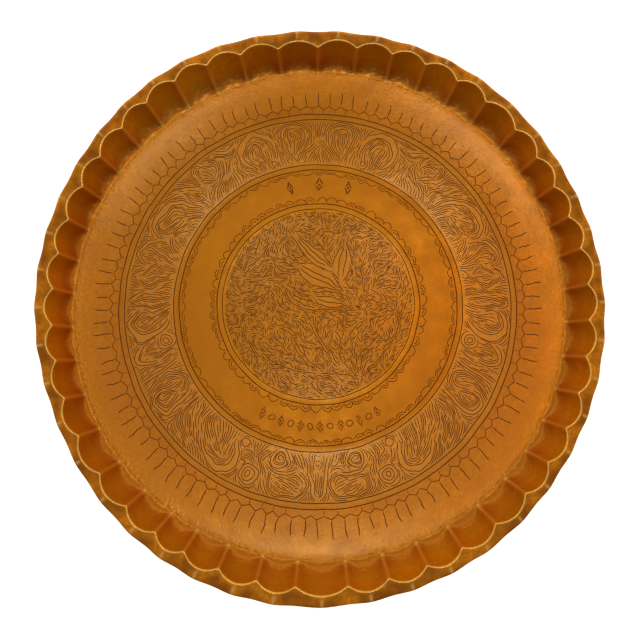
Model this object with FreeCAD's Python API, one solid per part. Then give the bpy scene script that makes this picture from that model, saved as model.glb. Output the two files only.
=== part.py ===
import FreeCAD, Part
import math
import os

# A round, shallow brass tray raised from one sheet: flat chased floor, dished margin,
# wall of hollow flutes and a pleated flange. Millimetres, +Z up. The origin is under the
# centre of the floor, on the surface that the tray stands on. A bearing is an angle in
# degrees, clockwise from +Y when seen from above.

# ---- driving dimensions ----
sheet = 1.0               # thickness of the brass
floor_r = 117.4           # edge of the flat floor
foot_r = 145.7            # where the flutes start
foot_slope = 8.0          # slope of the dished margin where it meets the wall, degrees
rim_z = 22.0              # highest line of the tray: the crown of each flute
ridge_top_r = 152.2       # top end of the ridge between two flutes
ridge_top_z = 21.4
crown_top_r = 156.15      # top of a flute at its middle
flange_r = 160.2          # outer edge of the flange over a flute's middle
flange_z = 21.3
pleat_r = 159.8           # outer edge of the flange between two flutes
pleat_z = 20.7

# ---- the wall's profile, as the two handles of a cubic curve ----
crown_foot_handle = 5.6   # how far a flute's floor runs out before it turns up
ridge_foot_handle = 2.6
crown_top_handle = 10.0
ridge_top_handle = 9.0
crown_steepness = 71.0    # slope at the top, degrees
ridge_steepness = 70.0
shoulder = 1.3            # fullness of the arch's shoulders
ridge_stretch = 0.28      # extra offset across the folded sheet at a ridge's top

# ---- the flutes, set out by eye ----
flute_count = 45
closing_bearing = 179.5   # middle of the flute that closed the circle
closing_width = 10.4      # degrees
wobble = 0.02             # small change of width from flute to flute
wobble_step = 2.6         # radians of that change per flute
# Where the flutes come out wider or narrower: bearing, spread in degrees, share of the width
stretches = [
    (236.0, 13.0, 0.135),
    (357.0, 11.0, 0.17),
    (43.0, 6.0, 0.14),
    (68.0, 12.0, -0.06),
    (142.0, 9.0, 0.09),
    (170.0, 4.0, 0.09),
    (212.0, 4.0, -0.14),
]

# ---- how far the hand-raised tray is out of round: bearing, spread in degrees, mm outwards ----
# The foot is round. The arch tops and the flange's edge each have their own shape.
top_bulges = [
    (26.0, 12.0, 1.4),
    (66.0, 14.0, -2.3),
    (100.0, 15.0, -1.1),
    (145.0, 16.0, 0.8),
    (185.0, 30.0, 0.9),
    (256.0, 22.0, -2.6),
    (286.0, 18.0, -1.6),
    (328.0, 15.0, 2.9),
    (357.0, 8.0, -1.4),
]
edge_bulges = [
    (27.0, 26.0, 2.2),
    (66.0, 12.0, -0.5),
    (145.0, 18.0, 1.2),
    (190.0, 32.0, 3.1),
    (248.0, 20.0, -1.9),
    (328.0, 24.0, 3.6),
]

# ---- worked out ----
rise_radius = (foot_r - floor_r) / math.sin(math.radians(foot_slope))
foot_z = sheet + rise_radius * (1.0 - math.cos(math.radians(foot_slope)))


def bumps_at(bumps, bearing):
    """Sum of smooth bumps (bearing, spread, amount) at a bearing."""
    total = 0.0
    for centre, spread, amount in bumps:
        away = abs((bearing - centre + 180.0) % 360.0 - 180.0)
        total += amount * math.exp(-(away / spread) ** 2)
    return total


def ridge_bearings():
    """Bearings of the ridges, one per flute, starting after the closing flute."""
    widths = []
    for i in range(flute_count - 1):
        bearing = closing_bearing + 360.0 * (i + 1) / flute_count
        widths.append(1.0 + wobble * math.sin(wobble_step * i) + bumps_at(stretches, bearing))
    scale = (360.0 - closing_width) / sum(widths)
    bearings = [closing_bearing + closing_width / 2.0]
    for width in widths:
        bearings.append(bearings[-1] + width * scale)
    return bearings


def radial_point(r, z, bearing):
    angle = math.radians(bearing)
    return FreeCAD.Vector(r * math.sin(angle), r * math.cos(angle), z)


def arc_columns(bearing_a, bearing_b):
    """Bearing, and radius on a unit circle, of the five poles of a quartic arc."""
    turn = math.radians(bearing_b - bearing_a)
    reach = 4.0 / 3.0 * math.tan(turn / 4.0)
    ends = [radial_point(1.0, 0.0, bearing_a), radial_point(1.0, 0.0, bearing_b)]
    tangents = [radial_point(reach, 0.0, bearing_a + 90.0), radial_point(reach, 0.0, bearing_b + 90.0)]
    cubic = [ends[0], ends[0] + tangents[0], ends[1] - tangents[1], ends[1]]
    quartic = [cubic[0]]
    for k in (1, 2, 3):
        quartic.append(cubic[k - 1] * (k / 4.0) + cubic[k] * (1.0 - k / 4.0))
    quartic.append(cubic[3])
    return [(math.degrees(math.atan2(p.x, p.y)), p.Length) for p in quartic]


def along(r, z, slope, distance):
    angle = math.radians(slope)
    return (r + distance * math.cos(angle), z + distance * math.sin(angle))


def profile(top_r, top_z, foot_handle, top_handle, steepness):
    """The four poles (r, z) of the wall's section, from the foot to the top."""
    return [
        (foot_r, foot_z),
        along(foot_r, foot_z, foot_slope, foot_handle),
        along(top_r, top_z, steepness, -top_handle),
        (top_r, top_z),
    ]


def wall_net():
    """Inner surface of a flute: for each row, (r, z) of the five columns."""
    ridge = profile(ridge_top_r, ridge_top_z, ridge_foot_handle, ridge_top_handle, ridge_steepness)
    crown = profile(crown_top_r, rim_z, crown_foot_handle, crown_top_handle, crown_steepness)
    middle = (16.0 - 8.0 * shoulder) / 6.0
    shares = [0.0, shoulder, middle, shoulder, 0.0]
    net = []
    for (ridge_r, ridge_z), (crown_r, crown_z) in zip(ridge, crown):
        row = [(ridge_r + s * (crown_r - ridge_r), ridge_z + s * (crown_z - ridge_z)) for s in shares]
        net.append(row)
    return net


def leg_normal(a, b):
    """Unit normal of a section's leg, on the outer, under side of the sheet."""
    length = math.hypot(b[0] - a[0], b[1] - a[1])
    return ((b[1] - a[1]) / length, -(b[0] - a[0]) / length)


def offset_net(net):
    """Outer surface of a flute: every section moved by the sheet's thickness."""
    flat = (0.0, -1.0)
    column_share = [1.0, 0.25, 0.0, 0.25, 1.0]
    outer = [[None] * 5 for row in net]
    for k in range(5):
        section = [row[k] for row in net]
        legs = [leg_normal(section[j], section[j + 1]) for j in range(3)]
        before = [legs[0]] + legs
        after = legs + [flat]
        for j in range(4):
            a, b = before[j], after[j]
            grow = sheet / (1.0 + a[0] * b[0] + a[1] * b[1])
            stretch = 1.0 + ridge_stretch * column_share[k] * j / 3.0
            dr = (a[0] + b[0]) * grow * stretch
            dz = (a[1] + b[1]) * grow
            outer[j][k] = (section[j][0] + dr, section[j][1] + dz)
    return outer


def place_row(row, columns, bulges=()):
    """Poles in space. Column radii follow a circle's arc, moved out by the bulges."""
    base = row[0][0]
    poles = []
    for (r, z), (bearing, unit) in zip(row, columns):
        out = bumps_at(bulges, bearing)
        poles.append(radial_point(base * unit + (r - base) + out, z, bearing))
    return poles


def place_net(net, columns):
    """A wall's net in space. Its two lower rows are round, its two upper rows follow the top."""
    bulges = [(), (), top_bulges, top_bulges]
    return [place_row(row, columns, bulge) for row, bulge in zip(net, bulges)]


def first_half(poles):
    """The first half of a Bezier row, cut at its middle."""
    half = []
    level = list(poles)
    while level:
        half.append(level[0])
        level = [(a + b) * 0.5 for a, b in zip(level, level[1:])]
    return half


def second_half(poles):
    return first_half(poles[::-1])[::-1]


def bezier_face(rows):
    """A face from rows of poles, a Bezier patch written as a B-spline."""
    across, up = len(rows[0]), len(rows)
    columns = [[rows[j][k] for j in range(up)] for k in range(across)]
    surface = Part.BSplineSurface()
    surface.buildFromPolesMultsKnots(columns, [across, across], [up, up], [0.0, 1.0], [0.0, 1.0],
                                     False, False, across - 1, up - 1)
    return surface.toShape()


def closed_solid(faces):
    shell = Part.makeShell(faces)
    shell.sewShape()
    solid = Part.Solid(Part.Shell(shell.Faces))
    if solid.Volume < 0.0:
        solid.reverse()
    return solid


def revolved(edges):
    return Part.Face(Part.Wire(edges)).revolve(FreeCAD.Vector(), FreeCAD.Vector(0, 0, 1), 360)


def section_point(r, z):
    return FreeCAD.Vector(r, 0.0, z)


def section_line(a, b):
    return Part.LineSegment(section_point(*a), section_point(*b)).toShape()


def rise_arc(offset):
    """An arc of the dished margin's section, at this distance under its upper face."""
    radius = rise_radius + offset
    centre_z = sheet + rise_radius

    def at(slope):
        angle = math.radians(slope)
        return section_point(floor_r + radius * math.sin(angle), centre_z - radius * math.cos(angle))

    return Part.Arc(at(0.0), at(foot_slope / 2.0), at(foot_slope)).toShape()


def make_floor():
    return Part.makeCylinder(floor_r, sheet)


def make_floor_rise():
    upper = rise_arc(0.0)
    under = rise_arc(sheet)
    inner_edge = section_line((floor_r, 0.0), (floor_r, sheet))
    outer_edge = Part.LineSegment(upper.Vertexes[1].Point, under.Vertexes[1].Point).toShape()
    return revolved([inner_edge, upper, outer_edge, under])


def make_wall(bearings):
    inner = wall_net()
    outer = offset_net(inner)
    faces = []
    for a, b in zip(bearings, bearings[1:] + [bearings[0] + 360.0]):
        columns = arc_columns(a, b)
        inside = place_net(inner, columns)
        outside = place_net(outer, columns)
        faces.append(bezier_face(inside))
        faces.append(bezier_face(outside))
        faces.append(bezier_face([inside[0], outside[0]]))
        faces.append(bezier_face([inside[3], outside[3]]))
    return closed_solid(faces)


def flange_edge(from_bearing, to_bearing, drop):
    """Outer edge of one half pleat, from the valley at a ridge to the crest."""
    shares = [0.0, 0.0, 0.3, 0.8, 1.0]
    edge = []
    for k, s in enumerate(shares):
        bearing = from_bearing + (to_bearing - from_bearing) * k / 4.0
        r = pleat_r + s * (flange_r - pleat_r) + bumps_at(edge_bulges, bearing)
        z = pleat_z + s * (flange_z - pleat_z) - drop
        edge.append(radial_point(r, z, bearing))
    return edge


def half_pleat(upper_in, under_in, upper_out, under_out):
    """The faces of one half pleat, apart from its cut ends."""
    return [
        bezier_face([upper_in, upper_out]),
        bezier_face([under_in, under_out]),
        bezier_face([upper_in, under_in]),
        bezier_face([upper_out, under_out]),
    ]


def make_flange(bearings):
    inner = wall_net()
    outer = offset_net(inner)
    faces = []
    for a, b in zip(bearings, bearings[1:] + [bearings[0] + 360.0]):
        columns = arc_columns(a, b)
        upper = place_row(inner[3], columns, top_bulges)
        under = place_row(outer[3], columns, top_bulges)
        middle = (a + b) / 2.0
        rising = [flange_edge(a, middle, drop) for drop in (0.0, sheet)]
        falling = [flange_edge(b, middle, drop)[::-1] for drop in (0.0, sheet)]
        faces += half_pleat(first_half(upper), first_half(under), *rising)
        faces += half_pleat(second_half(upper), second_half(under), *falling)
    return closed_solid(faces)


def main():
    bearings = ridge_bearings()
    nodes = {
        "floor": make_floor(),
        "floor_rise": make_floor_rise(),
        "fluted_wall": make_wall(bearings),
        "crimped_flange": make_flange(bearings),
    }
    os.makedirs("parts", exist_ok=True)
    for name, shape in nodes.items():
        shape.exportStep("parts/" + name + ".step")
        box = shape.BoundBox
        print(name, "valid", shape.isValid(), "volume", round(shape.Volume, 1),
              "z", round(box.ZMin, 3), round(box.ZMax, 3), "x", round(box.XMin, 3), round(box.XMax, 3),
              "y", round(box.YMin, 3), round(box.YMax, 3))


main()
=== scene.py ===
"""The looks of a round, shallow brass tray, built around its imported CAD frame.

The tray is one raised sheet: a chased floor, a dished margin, a wall of hollow flutes and a
pleated flange. Its lengths are in millimetres and become metres where a mesh is made. The stage,
lights and camera are in metres. A bearing is an angle in degrees, clockwise from +Y when seen
from above.
"""
import math
from collections import namedtuple

import bpy
import numpy as np
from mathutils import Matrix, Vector
from mathutils.geometry import delaunay_2d_cdt
from mathutils.kdtree import KDTree


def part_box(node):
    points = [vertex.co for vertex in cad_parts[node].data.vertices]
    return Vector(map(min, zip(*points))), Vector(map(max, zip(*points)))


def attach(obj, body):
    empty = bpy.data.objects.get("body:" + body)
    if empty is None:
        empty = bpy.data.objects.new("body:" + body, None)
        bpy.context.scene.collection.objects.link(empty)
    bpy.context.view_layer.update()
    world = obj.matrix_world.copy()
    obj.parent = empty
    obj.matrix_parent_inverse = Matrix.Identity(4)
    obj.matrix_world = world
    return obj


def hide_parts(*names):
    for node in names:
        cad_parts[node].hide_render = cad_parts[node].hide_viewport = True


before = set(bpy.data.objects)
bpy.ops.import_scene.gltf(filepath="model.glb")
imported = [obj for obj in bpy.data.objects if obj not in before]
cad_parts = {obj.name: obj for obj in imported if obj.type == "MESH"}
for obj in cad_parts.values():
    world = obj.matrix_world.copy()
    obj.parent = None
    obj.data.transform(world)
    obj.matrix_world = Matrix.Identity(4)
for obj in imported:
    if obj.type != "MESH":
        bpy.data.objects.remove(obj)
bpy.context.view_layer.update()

MM = 0.001

# ---- sizes of the sheet, from the frame ----
floor_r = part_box("floor")[1].x / MM
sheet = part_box("floor")[1].z / MM
foot_slope = 8.0          # slope of the dished margin where it meets the wall, degrees
foot_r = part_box("floor_rise")[1].x / MM - sheet * math.sin(math.radians(foot_slope))
rise_radius = (foot_r - floor_r) / math.sin(math.radians(foot_slope))
foot_z = sheet + rise_radius * (1.0 - math.cos(math.radians(foot_slope)))

# ---- the wall and the flange, as in the CAD part: radii and heights, mm; steepness, degrees ----
rim_z = 22.0
ridge_top_r = 152.2
ridge_top_z = 21.4
crown_top_r = 156.15
flange_r = 160.2
flange_z = 21.3
pleat_r = 159.8
pleat_z = 20.7
crown_foot_handle = 5.6
ridge_foot_handle = 2.6
crown_top_handle = 10.0
ridge_top_handle = 9.0
crown_steepness = 71.0
ridge_steepness = 70.0
shoulder = 1.3            # fullness of the arch's shoulders
flute_count = 45
closing_bearing = 179.5   # middle of the flute that closed the circle
closing_width = 10.4      # degrees
wobble = 0.02             # small change of width from flute to flute
wobble_step = 2.6         # radians of that change per flute
# Where the flutes come out wider or narrower: bearing, spread in degrees, share of the width
stretches = [
    (236.0, 13.0, 0.135),
    (357.0, 11.0, 0.17),
    (43.0, 6.0, 0.14),
    (68.0, 12.0, -0.06),
    (142.0, 9.0, 0.09),
    (170.0, 4.0, 0.09),
    (212.0, 4.0, -0.14),
]
# How far the tray is out of round: bearing, spread in degrees, mm outwards. The foot is round.
top_bulges = [
    (26.0, 12.0, 1.4),
    (66.0, 14.0, -2.3),
    (100.0, 15.0, -1.1),
    (145.0, 16.0, 0.8),
    (185.0, 30.0, 0.9),
    (256.0, 22.0, -2.6),
    (286.0, 18.0, -1.6),
    (328.0, 15.0, 2.9),
    (357.0, 8.0, -1.4),
]
edge_bulges = [
    (27.0, 26.0, 2.2),
    (66.0, 12.0, -0.5),
    (145.0, 18.0, 1.2),
    (190.0, 32.0, 3.1),
    (248.0, 20.0, -1.9),
    (328.0, 24.0, 3.6),
]
ridge_round = 0.9         # rounding of the folded ridges
arch_round = 0.85         # rounding where a flute turns over into the flange
columns_per_flute = 26
wall_rows = 22

# ---- the chasing ----
# Rings: radius, then how far the ring's centre is off the tray's axis (x, y)
inner_double = [(57.5, (-0.5, 0.6)), (60.75, (-0.5, 0.6))]
middle_double = [(83.3, (-0.6, -0.3)), (86.6, (-0.6, -0.3))]
outer_double = [(115.7, (-0.8, 0.0)), (119.1, (-0.8, 0.0))]
medallion_r = 59.1        # the zones meet in plain metal, between a double ring's lines
plain_band_r = 85.0
outline_width = 0.52
hatch_width = 0.52
ring_width = 0.6
outline_depth = 0.17
hatch_depth = 0.16
ring_depth = 0.2
line_end = 0.7            # a chased line runs out over this length
line_step = 0.5           # spacing of the points that a line is drawn with
turn_step = 12.0          # degrees a line may turn between two points of the mesh
longest_step = 2.4        # and the longest leg between two such points
planished_r = 140.0       # outside it the margin's mesh is fine enough for hammer marks
planished_spacing = 1.3
under_spacing = 5.0       # of the points on the sheet's under side

Stroke = namedtuple("Stroke", "points width depth closed")


# ======== lines ========

def polar(bearing, radius):
    """x and y of a bearing and a radius."""
    angle = np.radians(bearing)
    return np.array([radius * np.sin(angle), radius * np.cos(angle)]).T


def resample(line, step):
    """The same line, as points one step apart."""
    legs = np.hypot(*np.diff(line, axis=0).T)
    lengths = np.concatenate([[0.0], np.cumsum(legs)])
    count = max(2, int(round(lengths[-1] / step)) + 1)
    places = np.linspace(0.0, lengths[-1], count)
    return np.column_stack([np.interp(places, lengths, line[:, k]) for k in (0, 1)])


def spline(points):
    """A smooth line through a few points (Catmull-Rom)."""
    p = np.asarray(points, float)
    p = np.vstack([2.0 * p[:1] - p[1:2], p, 2.0 * p[-1:] - p[-2:-1]])
    t = np.linspace(0.0, 1.0, 12, endpoint=False)[:, None]
    spans = []
    for a, b, c, d in zip(p, p[1:], p[2:], p[3:]):
        cubic = 3.0 * b - 3.0 * c + d - a
        square = 2.0 * a - 5.0 * b + 4.0 * c - d
        spans.append(0.5 * (2.0 * b + (c - a) * t + square * t ** 2 + cubic * t ** 3))
    return resample(np.vstack(spans + [p[-2:-1]]), line_step)


def circle(radius, centre=(0.0, 0.0)):
    count = max(12, int(2.0 * math.pi * radius / line_step))
    return polar(np.linspace(0.0, 360.0, count + 1), radius) + np.asarray(centre)


def spiral(centre, start_r, end_r, turns, start_bearing=0.0):
    """A volute that winds inwards, clockwise."""
    count = int(turns * 40)
    bearings = start_bearing + np.linspace(0.0, 360.0 * turns, count)
    return resample(polar(bearings, np.linspace(start_r, end_r, count)) + np.asarray(centre), line_step)


def side_line(line, offsets):
    """The line moved sideways, to its left, by an offset at each point."""
    ahead = np.gradient(line, axis=0)
    ahead /= np.maximum(np.hypot(*ahead.T), 1e-9)[:, None]
    return line + np.column_stack([-ahead[:, 1], ahead[:, 0]]) * np.asarray(offsets)[:, None]


def ripple(x, y, wavelength, seed, waves=8):
    """A smooth random surface of about unit height."""
    rng = np.random.default_rng(seed)
    total = 0.0
    for _ in range(waves):
        angle, phase = rng.uniform(0.0, 2.0 * math.pi, 2)
        pace = 2.0 * math.pi / wavelength * rng.uniform(0.7, 1.4)
        total = total + np.sin(pace * (x * math.cos(angle) + y * math.sin(angle)) + phase)
    return total / math.sqrt(waves / 2.0)


def by_hand(line, amount=0.22, wavelength=9.0):
    """The line as a hand draws it, a little off everywhere."""
    x, y = line[:, 0], line[:, 1]
    shift = np.column_stack([ripple(x, y, wavelength, 11), ripple(x, y, wavelength, 12)])
    return line + amount * shift


class Chasing:
    """The chased lines of one zone, and the metal that its hatching leaves plain."""

    def __init__(self):
        self.strokes = []
        self.plain = []
        self.guides = []

    def line(self, points, width=outline_width, depth=outline_depth, closed=False):
        points = by_hand(points)
        self.strokes.append(Stroke(points, width, depth, closed))
        self.guides.append(points)

    def ring(self, radius, centre):
        points = by_hand(circle(radius, centre), 0.1, 23.0)
        self.strokes.insert(0, Stroke(points, ring_width, ring_depth, True))

    def leave_plain(self, edge, other_edge):
        self.plain.append(by_hand(np.vstack([edge, other_edge[::-1]])))

    def ribbon(self, line, width, end_width=None):
        """A plain ribbon between two lines. With end_width it swells in the middle."""
        share = np.linspace(0.0, 1.0, len(line))
        widths = np.full(len(line), float(width))
        if end_width is not None:
            widths = end_width + (width - end_width) * np.sin(math.pi * share) ** 0.8
        left, right = side_line(line, widths / 2.0), side_line(line, -widths / 2.0)
        self.line(left)
        self.line(right)
        self.leave_plain(left, right)

    def leaf(self, edge, other_edge, veins):
        """A leaf between two edges that run the same way, with some veins along it."""
        self.line(edge)
        self.line(other_edge)
        sides = []
        for side in (edge, other_edge):
            length = np.hypot(*np.diff(side, axis=0).T).sum()
            sides.append(resample(side, length / 40.0))
        for k in range(veins):
            share = (k + 1.0) / (veins + 1.0)
            vein = (1.0 - share) * sides[0] + share * sides[1]
            self.line(resample(vein[4:-3 - 2 * k], line_step))
        self.leave_plain(edge, other_edge)

    def disc(self, centre, radius):
        self.line(circle(radius, centre), closed=True)
        self.plain.append(by_hand(circle(radius, centre)))


class Cells:
    """Points, each filed by the square cell that it is in."""

    def __init__(self, size):
        self.size = size
        self.filed = {}

    def key(self, x, y):
        return int(x // self.size), int(y // self.size)

    def put(self, x, y, *notes):
        self.filed.setdefault(self.key(x, y), []).append((x, y, *notes))

    def near(self, x, y, distance):
        """What is filed nearer than the distance, which is at most a cell's size."""
        ci, cj = self.key(x, y)
        return [entry for i in (ci - 1, ci, ci + 1) for j in (cj - 1, cj, cj + 1)
                for entry in self.filed.get((i, j), ())
                if (entry[0] - x) ** 2 + (entry[1] - y) ** 2 < distance * distance]


def untangle(strokes):
    """The strokes without the parts that would run along inside an earlier one."""
    gap, shortest = 0.62, 1.5
    kept = []
    cells = Cells(1.0)
    for stroke in strokes:
        clear = [not cells.near(x, y, gap) for x, y in stroke.points.tolist()]
        if all(clear):
            kept.append(stroke)
            runs = [stroke.points]
        else:
            edges = np.flatnonzero(np.diff(np.concatenate([[0], np.array(clear, int), [0]])))
            runs = [stroke.points[a:b] for a, b in zip(edges[::2], edges[1::2])]
            runs = [run for run in runs if (len(run) - 1) * line_step >= shortest]
            kept += [Stroke(run, stroke.width, stroke.depth, False) for run in runs]
        for run in runs:
            for x, y in run.tolist():
                cells.put(x, y)
    return kept


# ======== hatching ========

def square_grid(low, pitch):
    """x and y of a square grid around the axis, from low to -low both ways."""
    axis = low + pitch * np.arange(int(-2 * low / pitch) + 2)
    return np.meshgrid(axis, axis, indexing="ij")


class Hatching:
    """Evenly spaced chased lines that run alongside the guides and fill the ground."""

    start_gap = 0.93      # how near another line a new one may start, in spacings
    end_gap = 0.56        # how near it may come before it stops
    least_cosine = 0.75   # of the turn that it may make in one step

    def __init__(self, chasing, inside, reach, spacing, wander, wavelength, lengths, seed):
        self.chasing = chasing
        self.spacing = spacing
        self.lengths = lengths
        self.inside = inside
        self.low = -reach
        self.rng = np.random.default_rng(seed)
        self.cells = Cells(spacing)
        self.number = 0
        self.set_angles(wander, wavelength, seed)
        self.set_mask()
        self.queue = []
        for stroke in chasing.strokes:
            self.number += 1
            for k, (x, y) in enumerate(stroke.points.tolist()):
                self.cells.put(x, y, self.number, k)
            self.queue.append(resample(stroke.points, 1.0))

    def set_angles(self, wander, wavelength, seed):
        """The lines' direction on a grid: the guides' own, each one's weight by its nearness."""
        self.pitch = 1.25
        gx, gy = square_grid(self.low, self.pitch)
        flat = np.column_stack([gx.ravel(), gy.ravel()])
        near = self.inside(flat[:, 0], flat[:, 1], 2.0 * self.pitch)
        places, doubled = [], []
        for guide in self.chasing.guides:
            line = resample(guide, 1.2)
            ahead = np.gradient(line, axis=0)
            angle = 2.0 * np.arctan2(ahead[:, 1], ahead[:, 0])
            places.append(line)
            doubled.append(np.column_stack([np.cos(angle), np.sin(angle)]))
        places, doubled = np.vstack(places), np.vstack(doubled)
        field = np.zeros((len(flat), 2))
        chosen = np.nonzero(near)[0]
        for part in np.array_split(chosen, max(1, len(chosen) // 400)):
            gap = ((flat[part, None, :] - places[None, :, :]) ** 2).sum(axis=2)
            weight = 1.0 / (gap + 0.8) ** 1.5
            field[part] = weight @ doubled
        turn = 2.0 * wander * ripple(flat[:, 0], flat[:, 1], wavelength, seed + 1)
        c, s = np.cos(turn), np.sin(turn)
        field = np.column_stack([field[:, 0] * c - field[:, 1] * s, field[:, 0] * s + field[:, 1] * c])
        field /= np.maximum(np.hypot(*field.T), 1e-12)[:, None]
        self.field = field.reshape(*gx.shape, 2).tolist()
        self.last = len(gx) - 2

    def set_mask(self):
        """A fine grid of where hatching may go."""
        self.dot = 0.4
        gx, gy = square_grid(self.low, self.dot)
        free = self.inside(gx, gy, 0.0)
        for polygon in self.chasing.plain:
            box = (np.array([polygon.min(axis=0), polygon.max(axis=0)]) - self.low) / self.dot
            i0, j0 = np.maximum(box[0].astype(int), 0)
            i1, j1 = np.minimum(box[1].astype(int) + 2, len(gx))
            x, y = gx[i0:i1, j0:j1], gy[i0:i1, j0:j1]
            odd = np.zeros(x.shape, bool)
            for (xa, ya), (xb, yb) in zip(polygon, np.roll(polygon, -1, axis=0)):
                if ya != yb:
                    crossing = (ya > y) != (yb > y)
                    odd ^= crossing & (x < xa + (y - ya) * (xb - xa) / (yb - ya))
            free[i0:i1, j0:j1] &= ~odd
        self.free = free

    def direction(self, x, y):
        fx, fy = (x - self.low) / self.pitch, (y - self.low) / self.pitch
        i, j = min(max(int(fx), 0), self.last), min(max(int(fy), 0), self.last)
        u, v = fx - i, fy - j
        a, b = self.field[i][j], self.field[i + 1][j]
        c, d = self.field[i][j + 1], self.field[i + 1][j + 1]
        p, q, r, s = (1 - u) * (1 - v), u * (1 - v), (1 - u) * v, u * v
        double_c = p * a[0] + q * b[0] + r * c[0] + s * d[0]
        double_s = p * a[1] + q * b[1] + r * c[1] + s * d[1]
        angle = 0.5 * math.atan2(double_s, double_c)
        return math.cos(angle), math.sin(angle)

    def open_at(self, x, y):
        i, j = int((x - self.low) / self.dot + 0.5), int((y - self.low) / self.dot + 0.5)
        return 0 <= i < len(self.free) and 0 <= j < len(self.free) and self.free[i, j]

    def clear(self, x, y, distance, k=None):
        """Whether no other line, nor this one's own far part, is this near."""
        return all(k is not None and number == self.number and abs(other_k - k) <= 5
                   for _, _, number, other_k in self.cells.near(x, y, distance))

    def grow(self, x, y, sign, length):
        """Points from (x, y) one way along the field, until something is in the way."""
        trail = []
        hx, hy = self.direction(x, y)
        hx, hy = hx * sign, hy * sign
        for step in range(1, int(length / line_step) + 1):
            dx, dy = self.direction(x + 0.5 * line_step * hx, y + 0.5 * line_step * hy)
            if dx * hx + dy * hy < 0.0:
                dx, dy = -dx, -dy
            if dx * hx + dy * hy < self.least_cosine:
                break
            x, y, hx, hy = x + line_step * dx, y + line_step * dy, dx, dy
            k = sign * step
            if not self.open_at(x, y) or not self.clear(x, y, self.end_gap * self.spacing, k):
                break
            trail.append((x, y))
            self.cells.put(x, y, self.number, k)
        return trail

    def forget(self, points):
        for x, y in points:
            key = self.cells.key(x, y)
            self.cells.filed[key] = [p for p in self.cells.filed[key] if p[2] != self.number]

    def run(self, shortest):
        """Adds the hatched lines, laid beside the guides first and then beside each other."""
        for line in self.queue:
            for offset in (self.spacing, -self.spacing):
                for x, y in side_line(line, np.full(len(line), offset)).tolist():
                    if not self.open_at(x, y) or not self.clear(x, y, self.start_gap * self.spacing):
                        continue
                    self.number += 1
                    length = self.rng.uniform(*self.lengths) / 2.0
                    self.cells.put(x, y, self.number, 0)
                    ahead = self.grow(x, y, 1, length)
                    back = self.grow(x, y, -1, length)
                    points = back[::-1] + [(x, y)] + ahead
                    if (len(points) - 1) * line_step < shortest:
                        self.forget(points)
                        continue
                    points = np.array(points)
                    self.chasing.strokes.append(Stroke(points, hatch_width, hatch_depth, False))
                    self.queue.append(points)


# ======== the drawing ========

band_centre = (-0.7, -0.1)


def band(*points):
    """A smooth line in the scroll band, through points of (bearing, radius)."""
    given = np.array(points, float)
    return spline(polar(given[:, 0], given[:, 1]))


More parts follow.
